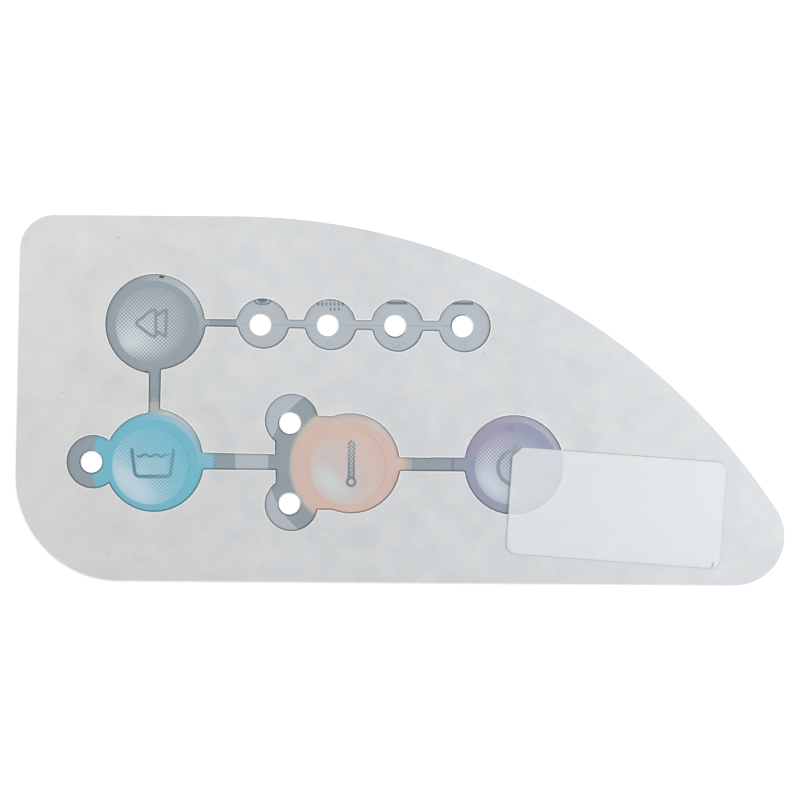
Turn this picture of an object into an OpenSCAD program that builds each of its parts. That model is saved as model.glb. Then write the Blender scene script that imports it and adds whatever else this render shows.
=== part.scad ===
// Graphic overlay of a four-key membrane keypad, seen from its back.
// It lies face down: clear film, print on the film's back, die-cut adhesive, release liner, and a small label.
// X runs along the straight bottom edge, Z points away from the front face.
// The middle of the outline's box is at the origin.

/* [Outline] */
// Length along the straight bottom edge, from the short side to the tip
overlay_l = 144.3; // [138:0.1:156]
// Height from the bottom edge to the top edge
overlay_h = 68.4; // [65:0.1:76]
// Lean of the short side from upright, in degrees
side_lean = 0.65; // [0:0.05:3]
// Radius of the corner between the short side and the top edge
top_corner_r = 6.6; // [3:0.1:12]
// Radius of the corner between the short side and the bottom edge
bottom_corner_r = 19.5; // [10:0.1:24]
// Radius of the rounded tip
tip_r = 9.1; // [4:0.1:12]
// Radius of the long curve that sweeps from the top edge down to the tip
sweep_r = 121.5; // [105:0.5:145]

/* [Layers] */
// Thickness of the clear film
film_t = 0.25; // [0.1:0.01:0.5]
// Thickness of the print
ink_t = 0.015; // [0.01:0.005:0.05]
// Thickness of the adhesive
adhesive_t = 0.13; // [0.05:0.01:0.3]
// Thickness of the paper liner
liner_t = 0.12; // [0.06:0.01:0.25]

/* [Keys] */
// Distance from the short side's foot to the first column of keys
first_column = 25.95; // [24:0.05:30]
// Distance from the bottom edge to the lower row of keys
lower_row = 22.15; // [20:0.05:24]
// Distance between the two rows
row_pitch = 25.95; // [24:0.05:28]
// Distance from the wash key to the heat key
heat_pitch = 36.9; // [35:0.1:39]
// Distance from the heat key to the power key
power_pitch = 30.6; // [28:0.1:34]
// Diameter of the windows behind the keys
key_window_d = 18.7; // [16:0.1:21]

/* [Lamps] */
// Distance from the first column of keys to the first lamp of the row
lamp_start = 20.1; // [18:0.1:22]
// Distance from lamp to lamp in the row
lamp_pitch = 12.64; // [12:0.02:14]
// Number of lamps in the row
lamp_count = 4; // [2:1:4]
// Diameter of the windows round the lamps in the row
lamp_window_d = 9.85; // [8:0.05:11]
// Diameter of the lamp holes through the film
lamp_hole_d = 4.1; // [3:0.1:5]
// Distance from the wash key to the lamp beside it
side_lamp = 11.4; // [10.5:0.1:13]
// Distance from the heat key to the pair of lamps beside it
pair_lamp = 11.1; // [10.5:0.1:13]
// Distance between the windows of that pair
pair_window_pitch = 15.45; // [14:0.05:17]
// Distance between the holes of that pair
pair_hole_pitch = 15.1; // [14:0.1:17]
// Diameter of the windows round the lamps beside the keys
side_window_d = 10.05; // [8:0.05:11]

/* [Channels] */
// Width of the air channel along the row of lamps
lamp_channel_w = 1.95; // [1:0.05:3]
// Width of the air channel between the two rows
link_channel_w = 2.25; // [1:0.05:3]
// Width of the air channel along the lower row
row_channel_w = 2.6; // [1:0.05:4]
// Radius at the mouth of each channel
mouth_r = 0.25; // [0.1:0.05:0.5]
// Reach of the wide corridor on the left of the heat key, from the key's centre
corridor_reach = 14.1; // [13:0.1:15]
// Height of that corridor
corridor_h = 17.4; // [15:0.1:18.5]

/* [Tongue] */
// Swing of the tongue of liner and adhesive between the two rows, in degrees
tongue_swing = 0.9; // [0:0.05:1.2]

/* [Print] */
// Diameter of the shaded face in the middle of each key
face_d = 14.2; // [12:0.1:16]
// How far the face lies to the left of the ring's middle
face_left = 0.25; // [-0.5:0.05:0.5]
// How far the face lies below the ring's middle
face_down = 0.2; // [-0.5:0.05:0.5]
// Outer diameter of the coloured ring round each face
ring_d = 23.25; // [20:0.05:24]
// Outer diameter of the grey surround
surround_d = 31.5; // [28:0.1:34]
// How far the print lies to the left of the windows
print_left = 0.15; // [-0.4:0.05:0.4]
// How far the print lies below the windows
print_down = 0.3; // [-0.4:0.05:0.4]
// How far the lamp holes lie to the left of the windows
hole_left = 0.35; // [-0.5:0.05:0.5]

/* [Label] */
// Length of the label
label_l = 40.2; // [30:0.1:44]
// Height of the label
label_h = 20; // [14:0.1:22]
// Thickness of the label
label_t = 0.08; // [0.05:0.01:0.15]
// Radius of the label's round corners
label_r = 2; // [1:0.1:4]
// Size of the cut across its upper left corner
label_cut = 1.8; // [0.5:0.1:4]
// Distance from the tip to the middle of the label
label_from_tip = 31.6; // [30:0.1:36]
// Distance from the bottom edge to the middle of the label
label_up = 14.25; // [13:0.05:18]
// Turn of the label, in degrees
label_turn = -3.8; // [-6:0.1:6]

/* [Hidden] */
$fn = 180;

left = -overlay_l / 2;
right = overlay_l / 2;
bottom = -overlay_h / 2;
top = overlay_h / 2;

// Heights of the layers' lower faces
ink_z = film_t;
adhesive_z = ink_z + ink_t;
liner_z = adhesive_z + adhesive_t;
label_z = liner_z + liner_t;

// Centres of the outline's round stretches
side_normal = [-cos(side_lean), sin(side_lean)];
bottom_corner = [left + bottom_corner_r, bottom + bottom_corner_r];
top_corner_y = top - top_corner_r;
lean_shift = (top_corner_y - bottom_corner.y) * sin(side_lean);
top_corner_x = bottom_corner.x + (lean_shift - bottom_corner_r + top_corner_r) / cos(side_lean);
top_corner = [top_corner_x, top_corner_y];
tip = [right - tip_r, bottom + tip_r];
sweep_y = top - sweep_r;
sweep_x = tip.x - sqrt(pow(sweep_r - tip_r, 2) - pow(tip.y - sweep_y, 2));
sweep = [sweep_x, sweep_y];

// Points where the outline's stretches meet
sweep_start = [sweep.x, top];
sweep_end = sweep + sweep_r * (tip - sweep) / norm(tip - sweep);
chord = sweep_end - sweep_start;
chord_normal = [-chord.y, chord.x] / norm(chord);

// Centres of the windows
first_x = left + first_column;
lower_y = bottom + lower_row;
upper_y = lower_y + row_pitch;
heat_x = first_x + heat_pitch;
power_x = heat_x + power_pitch;
back_key = [first_x, upper_y];
wash_key = [first_x, lower_y];
heat_key = [heat_x, lower_y];
power_key = [power_x, lower_y];
keys = [back_key, wash_key, heat_key, power_key];
row_windows = [for (i = [0 : lamp_count - 1]) [first_x + lamp_start + i * lamp_pitch, upper_y]];
side_window = wash_key - [side_lamp, 0];
pair_windows = [for (s = [-1, 1]) heat_key + [-pair_lamp, s * pair_window_pitch / 2]];

// Centres of the holes and of the print, which are out of register with the windows
hole_shift = [-hole_left, 0];
pair_holes = [for (s = [-1, 1]) heat_key + [-pair_lamp, s * pair_hole_pitch / 2]];
holes = [for (p = concat(row_windows, [side_window], pair_holes)) p + hole_shift];
print_shift = [-print_left, -print_down];
face_shift = print_shift - [face_left, face_down];

// The root of the tongue, and the point that the tongue has swung about
tongue_root = row_windows[lamp_count - 2].x;
swing_centre = [tongue_root, (lower_y + upper_y) / 2];
tongue_lap = 0.1;

// Places a flat shape at height z with thickness t
module layer(z, t) {
    translate([0, 0, z])
        linear_extrude(t)
            children();
}

// Discs of diameter d at each point of a list
module discs(points, d) {
    for (p = points)
        translate(p)
            circle(d = d);
}

// The overlay's outline: straight edges, three round corners and the long sweep
module outline() {
    polygon([
        [bottom_corner.x, bottom],
        [tip.x, bottom],
        sweep_end,
        sweep_start,
        [top_corner.x, top],
        top_corner + top_corner_r * side_normal,
        bottom_corner + bottom_corner_r * side_normal,
    ]);
    translate(top_corner)
        circle(top_corner_r);
    translate(bottom_corner)
        circle(bottom_corner_r);
    translate(tip)
        circle(tip_r);
    intersection() {
        translate(sweep)
            circle(sweep_r);
        polygon([
            sweep_start,
            sweep_end,
            sweep_end + overlay_h * chord_normal,
            sweep_start + overlay_h * chord_normal,
        ]);
    }
}

// The lamp holes that pass through film and print
module lamp_holes() {
    discs(holes, lamp_hole_d);
}

// The two rounded corners where a channel of width w opens into a window of diameter d, towards +X
module mouth(d, w) {
    rise = w / 2 + mouth_r;
    run = sqrt(pow(d / 2 + mouth_r, 2) - pow(rise, 2));
    for (s = [-1, 1])
        difference() {
            polygon([[0, 0], [run, 0], [run, s * rise]]);
            translate([run, s * rise])
                circle(mouth_r);
        }
}

// A straight channel of width w between two windows, with its rounded mouths
module channel(from, to, from_d, to_d, w) {
    step = to - from;
    translate(from)
        rotate(atan2(step.y, step.x)) {
            translate([0, -w / 2])
                square([norm(step), w]);
            mouth(from_d, w);
            translate([norm(step), 0])
                rotate(180)
                    mouth(to_d, w);
        }
}

// The windows and air channels that are cut through adhesive and liner
module windows() {
    discs(keys, key_window_d);
    discs(row_windows, lamp_window_d);
    discs(concat([side_window], pair_windows), side_window_d);
    channel(back_key, row_windows[0], key_window_d, lamp_window_d, lamp_channel_w);
    for (i = [1 : lamp_count - 1])
        channel(row_windows[i - 1], row_windows[i], lamp_window_d, lamp_window_d, lamp_channel_w);
    channel(wash_key, back_key, key_window_d, key_window_d, link_channel_w);
    channel(wash_key, heat_key, key_window_d, key_window_d, row_channel_w);
    channel(heat_key, power_key, key_window_d, key_window_d, row_channel_w);
    translate(heat_key + [-corridor_reach, -corridor_h / 2])
        square([corridor_reach, corridor_h]);
}

// One field of ink on the back of the film, cut by the outline and the lamp holes
module ink() {
    layer(ink_z, ink_t)
        difference() {
            intersection() {
                outline();
                children();
            }
            lamp_holes();
        }
}

// The coloured ring of one key
module key_ring(key) {
    ink()
        difference() {
            translate(key + print_shift)
                circle(d = ring_d);
            translate(key + face_shift)
                circle(d = face_d);
        }
}

// The shaded face of one key
module key_face(key) {
    ink()
        translate(key + face_shift)
            circle(d = face_d);
}

// The tongue between the two rows, from the first column of keys to its root, with a lap all round
module tongue_region(lap) {
    polygon([
        [first_x - lap, lower_y - lap],
        [(heat_x + power_x) / 2 + lap, lower_y - lap],
        [tongue_root + lap, upper_y + lap],
        [first_x - lap, upper_y + lap],
    ]);
}

// The windows as they lie, after the tongue was laid a little askew
module laid_windows() {
    difference() {
        windows();
        tongue_region(0);
    }
    intersection() {
        tongue_region(tongue_lap);
        translate(swing_centre)
            rotate(-tongue_swing)
                translate(-swing_centre)
                    windows();
    }
}

// A sheet with the overlay's outline, cut by a pattern of windows
module die_cut_sheet(z, t) {
    layer(z, t)
        difference() {
            outline();
            children();
        }
}

module overlay_film() {
    color([0.90, 0.93, 0.95])
        layer(0, film_t)
            difference() {
                outline();
                lamp_holes();
            }
}

module background_print() {
    color([0.69, 0.73, 0.77])
        ink()
            difference() {
                outline();
                translate(print_shift)
                    discs(keys, surround_d);
            }
}

module surround_print() {
    color([0.57, 0.62, 0.65])
        ink()
            translate(print_shift)
                difference() {
                    discs(keys, surround_d);
                    discs(keys, ring_d);
                }
}

module back_key_ring() {
    color([0.57, 0.62, 0.66])
        key_ring(back_key);
}

module back_key_face() {
    color([0.68, 0.73, 0.76])
        key_face(back_key);
}

module wash_key_ring() {
    color([0.46, 0.73, 0.81])
        key_ring(wash_key);
}

module wash_key_face() {
    color([0.66, 0.80, 0.87])
        key_face(wash_key);
}

module heat_key_ring() {
    color([0.84, 0.71, 0.67])
        key_ring(heat_key);
}

module heat_key_face() {
    color([0.82, 0.78, 0.76])
        key_face(heat_key);
}

module power_key_ring() {
    color([0.60, 0.60, 0.69])
        key_ring(power_key);
}

module power_key_face() {
    color([0.70, 0.71, 0.78])
        key_face(power_key);
}

module adhesive() {
    color([0.80, 0.82, 0.82])
        die_cut_sheet(adhesive_z, adhesive_t)
            laid_windows();
}

module release_liner() {
    color([0.84, 0.84, 0.84])
        die_cut_sheet(liner_z, liner_t)
            laid_windows();
}

// The label's flat shape: round corners, and a straight cut across the upper left one
module label_shape() {
    long = label_l / 2 - label_r;
    high = label_h / 2 - label_r;
    difference() {
        union() {
            square([label_l, 2 * high], center = true);
            square([2 * long, label_h], center = true);
            discs([for (x = [-long, long], y = [-high, high]) [x, y]], 2 * label_r);
        }
        translate([-label_l / 2, label_h / 2])
            rotate(45)
                square(label_cut * sqrt(2), center = true);
    }
}

module label() {
    color([0.88, 0.90, 0.91])
        translate([right - label_from_tip, bottom + label_up])
            rotate(label_turn)
                layer(label_z, label_t)
                    label_shape();
}

overlay_film();
background_print();
surround_print();
back_key_ring();
back_key_face();
wash_key_ring();
wash_key_face();
heat_key_ring();
heat_key_face();
power_key_ring();
power_key_face();
adhesive();
release_liner();
label();
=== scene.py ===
import math
import random

import bmesh
import bpy
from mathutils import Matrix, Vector


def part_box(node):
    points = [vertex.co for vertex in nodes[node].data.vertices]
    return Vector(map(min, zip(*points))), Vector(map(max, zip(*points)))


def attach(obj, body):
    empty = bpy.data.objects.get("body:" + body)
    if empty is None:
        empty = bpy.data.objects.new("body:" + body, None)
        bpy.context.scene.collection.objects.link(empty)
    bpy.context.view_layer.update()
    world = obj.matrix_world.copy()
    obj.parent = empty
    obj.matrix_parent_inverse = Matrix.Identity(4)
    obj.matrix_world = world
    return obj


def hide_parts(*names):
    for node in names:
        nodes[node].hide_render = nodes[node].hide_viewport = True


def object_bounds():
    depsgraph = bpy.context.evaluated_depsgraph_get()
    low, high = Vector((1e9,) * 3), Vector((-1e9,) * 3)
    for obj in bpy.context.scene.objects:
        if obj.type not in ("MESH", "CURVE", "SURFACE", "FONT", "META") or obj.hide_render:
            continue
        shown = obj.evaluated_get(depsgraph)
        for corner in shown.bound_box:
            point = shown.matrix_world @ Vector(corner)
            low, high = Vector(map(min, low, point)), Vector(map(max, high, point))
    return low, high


# Looks of a membrane keypad's graphic overlay, which lies face down with its printed back to the camera.

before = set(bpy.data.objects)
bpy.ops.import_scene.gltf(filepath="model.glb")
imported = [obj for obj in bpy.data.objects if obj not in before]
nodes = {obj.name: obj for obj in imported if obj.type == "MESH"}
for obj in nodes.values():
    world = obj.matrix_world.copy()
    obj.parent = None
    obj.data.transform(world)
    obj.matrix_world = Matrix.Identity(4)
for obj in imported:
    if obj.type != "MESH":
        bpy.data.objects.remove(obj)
cad_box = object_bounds()

MM = 0.001

# The photograph's frame: the size of a pixel on the sheet, and the pixel that shows the frame's origin
PHOTO_SIDE = 800
PIXEL = 0.1875 * MM
ORIGIN_PIXEL = (400.43, 399.39)
PHOTO_TURN = math.radians(0.44)

# Heights of the layers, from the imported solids
film_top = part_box("overlay_film")[1].z
ink_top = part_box("background_print")[1].z
adhesive_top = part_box("adhesive")[1].z
liner_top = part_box("release_liner")[1].z
label_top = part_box("label")[1].z

# Small steps in height that keep faces apart which would lie in one plane
FILM_GAP = 0.005 * MM
WELD = 0.002 * MM
MARK_LOW = film_top - 0.0025 * MM
MARK_HIGH = ink_top + 0.003 * MM

KEY_NAMES = ("back", "wash", "heat", "power")
# How far the middle of each key's ring lies from the middle of its face
RING_FROM_FACE = Vector((0.25, 0.2, 0)) * MM
# How far the middle of each window lies from the middle of the ring
WINDOW_FROM_RING = Vector((0.15, 0.3, 0)) * MM
# Radii about a ring's middle, in millimetres
SOLID_RING_R = 8.34
RING_R = 11.625
SURROUND_R = 15.75

# The print's dot screen, in millimetres and degrees
SCREEN_PITCH = 0.508
SCREEN_ANGLES = (45, 135)
DOT_SOFTNESS = 0.145
# The cubic curve that turns a coverage into a level of the screen
LEVEL_REACH = 1.1
LEVEL_SLOPE = -0.634
LEVEL_BEND = -1.68


def from_photo(column, row):
    """The place on the sheet, in metres, that the photograph shows at a pixel."""
    right = (column - ORIGIN_PIXEL[0]) * PIXEL
    down = (row - ORIGIN_PIXEL[1]) * PIXEL
    x = right * math.cos(PHOTO_TURN) + down * math.sin(PHOTO_TURN)
    y = right * math.sin(PHOTO_TURN) - down * math.cos(PHOTO_TURN)
    return Vector((x, y))


def direction(angle):
    """A unit vector on the sheet, turned by an angle in degrees from +X."""
    return Vector((math.cos(math.radians(angle)), math.sin(math.radians(angle)), 0))


def ring_middle(key):
    """The middle of a key's printed ring, in metres."""
    low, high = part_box(f"{key}_key_face")
    return (low + high) / 2 + RING_FROM_FACE


def linear(colour):
    """A colour written in 0 to 255, as Blender's linear colour."""
    parts = []
    for part in colour:
        share = part / 255
        if share <= 0.04045:
            parts.append(share / 12.92)
        else:
            parts.append(((share + 0.055) / 1.055) ** 2.4)
    return (*parts, 1.0)


# Meshes


def rims(name):
    """The closed rims of a flat node's top face, each as a list of places on the sheet."""
    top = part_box(name)[1].z
    solid = bmesh.new()
    solid.from_mesh(nodes[name].data)
    bmesh.ops.remove_doubles(solid, verts=solid.verts, dist=WELD)
    tops = {face for face in solid.faces if all(abs(v.co.z - top) < WELD for v in face.verts)}
    follows = {}
    for face in tops:
        for corner in face.loops:
            if sum(other in tops for other in corner.edge.link_faces) == 1:
                follows[corner.vert] = corner.link_loop_next.vert
    loops = []
    while follows:
        start, step = follows.popitem()
        loop = [start.co.xy]
        while step is not start:
            loop.append(step.co.xy)
            step = follows.pop(step)
        loops.append(loop)
    solid.free()
    return sorted(loops, key=lambda loop: -abs(loop_area(loop)))


def loop_area(loop):
    """The area inside a loop: positive where it runs anticlockwise."""
    total = 0
    for a, b in zip(loop, loop[1:] + loop[:1]):
        total += a.x * b.y - b.x * a.y
    return total / 2


# Keeps a strip from running out to a point at a sharp bend
LEAST_MITRE = 0.6


def sideways(path, closed):
    """At each point of a path, the vector to its left that keeps a strip's width round the bends."""
    sides = []
    last = len(path) - 1
    for i, place in enumerate(path):
        before = path[i - 1] if (i or closed) else place
        after = path[(i + 1) % len(path)] if (i < last or closed) else place
        runs = [run.normalized() for run in (place - before, after - place) if run.length > 0]
        lefts = [Vector((-run.y, run.x)) for run in runs]
        middle = sum(lefts, Vector((0, 0))).normalized()
        sides.append(middle / max(middle.dot(lefts[0]), LEAST_MITRE))
    return sides


def sweep(path, profile, closed=False):
    """Vertices and faces of a section that follows a flat path.
    profile(i, side) gives the section's points as pairs: how far to the path's left, and the height."""
    vertices = []
    count = 0
    for i, (place, side) in enumerate(zip(path, sideways(path, closed))):
        section = profile(i, side)
        count = len(section)
        for offset, height in section:
            spot = place + side * offset
            vertices.append((spot.x, spot.y, height))
    faces = []
    steps = len(path) if closed else len(path) - 1
    for i in range(steps):
        here = i * count
        there = ((i + 1) % len(path)) * count
        for j in range(count):
            k = (j + 1) % count
            faces.append((here + j, here + k, there + k, there + j))
    if not closed:
        faces.append(tuple(range(count)))
        faces.append(tuple(range(steps * count, (steps + 1) * count)))
    return vertices, faces


def strip(path, width, low, high, closed=False):
    """A flat strip of one width along a path, between two heights."""
    half = width / 2
    section = [(-half, low), (half, low), (half, high), (-half, high)]
    return sweep(path, lambda i, side: section, closed)


def patch(outline, low, high):
    """A flat patch with a convex outline, between two heights."""
    count = len(outline)
    vertices = [(p.x, p.y, low) for p in outline] + [(p.x, p.y, high) for p in outline]
    faces = [tuple(range(count)), tuple(range(count, 2 * count))]
    for i in range(count):
        k = (i + 1) % count
        faces.append((i, k, count + k, count + i))
    return vertices, faces


def arc(middle, radius, start, end, steps):
    """Points along an arc, with its angles in degrees."""
    points = []
    for i in range(steps + 1):
        turn = direction(start + (end - start) * i / steps)
        points.append(middle + radius * turn.xy)
    return points


def rounded(points, reach, closed=False, steps=6):
    """A path whose corners are rounded off, starting a given reach before each corner."""
    path = []
    last = len(points) - 1
    for i, corner in enumerate(points):
        if not closed and i in (0, last):
            path.append(corner)
            continue
        before = points[i - 1]
        after = points[(i + 1) % len(points)]
        start = corner + (before - corner).normalized() * reach
        end = corner + (after - corner).normalized() * reach
        for j in range(steps + 1):
            t = j / steps
            path.append(start * (1 - t) ** 2 + corner * 2 * t * (1 - t) + end * t**2)
    return path


def add_object(name, data):
    """A new object in the scene."""
    made = bpy.data.objects.new(name, data)
    bpy.context.scene.collection.objects.link(made)
    return made


def place_piece(name, mesh):
    """Puts a mesh in the scene as a piece."""
    piece = add_object(name, mesh)
    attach(piece, "root")
    return piece


def add_piece(name, shapes, material):
    """Makes one piece of the scene from a list of shapes, each with its vertices and faces."""
    vertices = []
    faces = []
    for shape_vertices, shape_faces in shapes:
        first = len(vertices)
        vertices.extend(shape_vertices)
        faces.extend(tuple(first + i for i in face) for face in shape_faces)
    mesh = bpy.data.meshes.new(name)
    mesh.from_pydata(vertices, [], faces)
    solid = bmesh.new()
    solid.from_mesh(mesh)
    bmesh.ops.recalc_face_normals(solid, faces=solid.faces)
    solid.to_mesh(mesh)
    solid.free()
    mesh.materials.append(material)
    return place_piece(name, mesh)


# Lamp holes and their places


def middle_of(loop):
    """The mean of a loop's places."""
    return sum(loop, Vector((0, 0))) / len(loop)


hole_loops = rims("overlay_film")[1:]
hole_middles = sorted((middle_of(loop) for loop in hole_loops), key=lambda p: p.x)
hole_r = max((p - middle_of(hole_loops[0])).length for p in hole_loops[0])
row_holes = [p for p in hole_middles if p.y > 0]
side_hole = hole_middles[0]
pair_holes = [p for p in hole_middles if p.y < 0 and p is not side_hole]
lower_hole = min(pair_holes, key=lambda p: p.y)
upper_hole = max(pair_holes, key=lambda p: p.y)

# Materials

# The surfaces' noises: each one's size in millimetres, detail, shift and how far it changes the shade
NOISES = {
    "ink_grain": (0.3, 3, 0, 0.06),
    "ink_cloud": (2.6, 2, 31, 0.08),
    "ink_weave": (0.16, 2, 7, 0),
    "liner_cloud": (4.5, 3, 0, 0.14),
    "liner_drift": (19, 2, 53, 0.1),
    "liner_fibre": (0.4, 4, 17, 0.09),
    "liner_patch": (4.0, 2, 91, 0),
    "torn_fibre": (0.25, 3, 0, 0.1),
    "glue_dirt_and_shade": (0.9, 3, 0, 0.5),
    "film_grain": (0.12, 2, 0, 0),
    "film_cloud": (6, 2, 23, 0.06),
    "label_cloud": (3.5, 3, 41, 0.03),
    "label_fibre": (0.35, 4, 13, 0.03),
    "label_patch": (5.5, 2, 77, 0),
    "gum_streak": (1.5, 2, 0, 0.04),
}
# The stretch in which most values of a noise lie, and the roughness of each surface over that stretch
NOISE_RUN = (0.3, 0.7)
ROUGHNESS = {
    "ink": (0.5, 0.66),
    "liner": (0.6, 0.75),
    "torn": (0.7, 0.9),
    "adhesive_and_shadow": (0.3, 0.5),
    "film": (0.16, 0.3),
    "label": (0.4, 0.52),
}
# The full depth of each surface's bump, in millimetres
BUMPS = {"ink": 0.004, "liner": 0.006, "film": 0.002, "label": 0.004}


class Paint:
    """A node tree of a material or a world, with short calls for the nodes that they share here."""

    def __init__(self, name, world=False):
        """Starts an empty material or world."""
        self.owner = bpy.data.worlds.new(name) if world else bpy.data.materials.new(name)
        self.owner.use_nodes = True
        self.tree = self.owner.node_tree
        self.tree.nodes.clear()
        self.output = self.tree.nodes.new("ShaderNodeOutputWorld" if world else "ShaderNodeOutputMaterial")
        self.noises = {}
        place = self.node("TexCoord", {}, "Object")
        # The place on the sheet, in millimetres
        self.mm = self.vector("SCALE", place, scale=1 / MM)

    def node(self, kind, inputs, output=0, **settings):
        """An output of a new node, with links or values for the node's inputs."""
        made = self.tree.nodes.new("ShaderNode" + kind)
        for name, value in settings.items():
            setattr(made, name, value)
        for key, value in inputs.items():
            if isinstance(value, bpy.types.NodeSocket):
                self.tree.links.new(value, made.inputs[key])
            else:
                made.inputs[key].default_value = value
        return made.outputs[output]

    def math(self, operation, *values):
        """The result of a sum on numbers."""
        return self.node("Math", dict(enumerate(values)), operation=operation)

    def vector(self, operation, *values, scale=None):
        """The result of a sum on vectors."""
        inputs = dict(enumerate(values))
        if scale is not None:
            inputs["Scale"] = scale
        scalar = operation in ("DISTANCE", "LENGTH", "DOT_PRODUCT")
        return self.node("VectorMath", inputs, "Value" if scalar else "Vector", operation=operation)

    def distance(self, middle):
        """The distance, in millimetres, from a place given in metres."""
        return self.vector("DISTANCE", self.mm, tuple(Vector(middle) / MM))

    def times(self, a, b):
        """A product."""
        return self.math("MULTIPLY", a, b)

    def rest(self, share):
        """What a share leaves of one."""
        return self.math("SUBTRACT", 1.0, share)

    def along(self, place, angle):
        """How far a place lies out in the direction of an angle."""
        return self.vector("DOT_PRODUCT", place, tuple(direction(angle)))

    def noise(self, name):
        """One of the noises, which is made once."""
        if name not in self.noises:
            size, detail, shift, _ = NOISES[name]
            moved = self.vector("ADD", self.mm, (shift, shift * 0.7, 0))
            inputs = {"Vector": moved, "Scale": 1 / size, "Detail": detail, "Roughness": 0.55}
            self.noises[name] = self.node("TexNoise", inputs)
        return self.noises[name]

    def span(self, value, low, high, to_low=0.0, to_high=1.0):
        """A smooth step from one value to another between two limits."""
        inputs = {"Value": value, 1: low, 2: high, 3: to_low, 4: to_high}
        return self.node("MapRange", inputs, interpolation_type="SMOOTHSTEP")

    def rough(self, name, surface):
        """A surface's roughness, which follows a noise."""
        return self.span(self.noise(name), *NOISE_RUN, *ROUGHNESS[surface])

    def blend(self, factor, a, b):
        """A mix of two colours."""
        inputs = {0: factor, 6: a, 7: b}
        return self.node("Mix", inputs, 2, data_type="RGBA")

    def tone(self, colour, *names, shade=1.0):
        """A colour made lighter and darker by noises, from a first shade."""
        for name in names:
            strength = NOISES[name][3]
            wave = self.math("MULTIPLY_ADD", self.noise(name), strength, -strength / 2)
            shade = self.math("ADD", shade, wave)
        return self.vector("SCALE", colour, scale=shade)

    def bump(self, height, surface):
        """A surface's bump."""
        inputs = {"Height": height, "Distance": BUMPS[surface] * MM, "Strength": 1.0}
        return self.node("Bump", inputs)

    def dots(self, coverage, contrast):
        """How much ink the dot screen lays for a coverage from 0 to 1."""
        waves = []
        for angle in SCREEN_ANGLES:
            along = self.along(self.mm, angle)
            waves.append(self.math("COSINE", self.times(along, math.tau / SCREEN_PITCH)))
        screen = self.math("MULTIPLY_ADD", self.math("ADD", *waves), 0.25, 0.5)
        # The level of the screen that leaves the wanted share of the sheet above it
        off = self.math("MULTIPLY_ADD", coverage, LEVEL_REACH, -LEVEL_REACH / 2)
        slope = self.math("MULTIPLY_ADD", self.times(off, off), LEVEL_BEND, LEVEL_SLOPE)
        edge = self.math("MULTIPLY_ADD", off, slope, 0.5)
        low = self.math("SUBTRACT", edge, DOT_SOFTNESS)
        high = self.math("ADD", edge, DOT_SOFTNESS)
        printed = self.span(screen, low, high)
        even = self.times(coverage, self.rest(contrast))
        return self.math("MULTIPLY_ADD", printed, contrast, even)

    def surface(self, colour, roughness, normal=None, specular=0.25):
        """An opaque surface with gloss."""
        inputs = {"Base Color": colour, "Roughness": roughness, "Specular IOR Level": specular}
        if normal is not None:
            inputs["Normal"] = normal
        return self.node("BsdfPrincipled", inputs)

    def done(self, shader):
        """The finished material or world, with a shader as its surface."""
        self.tree.links.new(shader, self.output.inputs["Surface"])
        return self.owner


def ink_finish(paint, colour):
    """The matt, slightly uneven surface of screen-printed ink, in a given colour."""
    toned = paint.tone(colour, "ink_grain", "ink_cloud")
    normal = paint.bump(paint.noise("ink_weave"), "ink")
    return paint.done(paint.surface(toned, paint.rough("ink_grain", "ink"), normal))


def nearest_key(paint):
    """The distance, in millimetres, to the middle of the nearest key's print."""
    nearest = None
    for key in KEY_NAMES:
        away = paint.distance(ring_middle(key))
        nearest = away if nearest is None else paint.math("MINIMUM", nearest, away)
    return nearest


def plain_ink(name, colour):
    """Ink of one colour."""
    paint = Paint(name)
    return ink_finish(paint, linear(colour)[:3])


BASE_INK = (180, 188, 195)
SURROUND_INK = (148, 159, 167)
# The paler line where the surround meets the base, and its width in millimetres
TRAP_INK = (186, 193, 198)
TRAP_W = 0.32
# How far round the lamp at the left the grey runs on, in millimetres
SIDE_GREY_R = 5.5
# Half the width over which one printed colour gives way to another, in millimetres
PRINT_SOFT = 0.08
RING_SOFT = 0.06
SIDE_SOFT = 0.1


def at_side_lamp(paint):
    """1 in the window of the lamp at the left, where the grey runs on to the window's edge, else 0."""
    away = paint.distance(side_hole.to_3d())
    return paint.span(away, SIDE_GREY_R - SIDE_SOFT, SIDE_GREY_R + SIDE_SOFT, 1.0, 0.0)


def base_ink():
    """The light base of the print."""
    paint = Paint("base_ink")
    return ink_finish(paint, paint.blend(at_side_lamp(paint), linear(BASE_INK), linear(SURROUND_INK)))


def surround_ink():
    """The grey round the keys, with a paler line where it meets the light base."""
    paint = Paint("surround_ink")
    start = SURROUND_R - TRAP_W
    trap = paint.span(nearest_key(paint), start - PRINT_SOFT, start + PRINT_SOFT)
    shown = paint.times(trap, paint.rest(at_side_lamp(paint)))
    return ink_finish(paint, paint.blend(shown, linear(SURROUND_INK), linear(TRAP_INK)))


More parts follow.
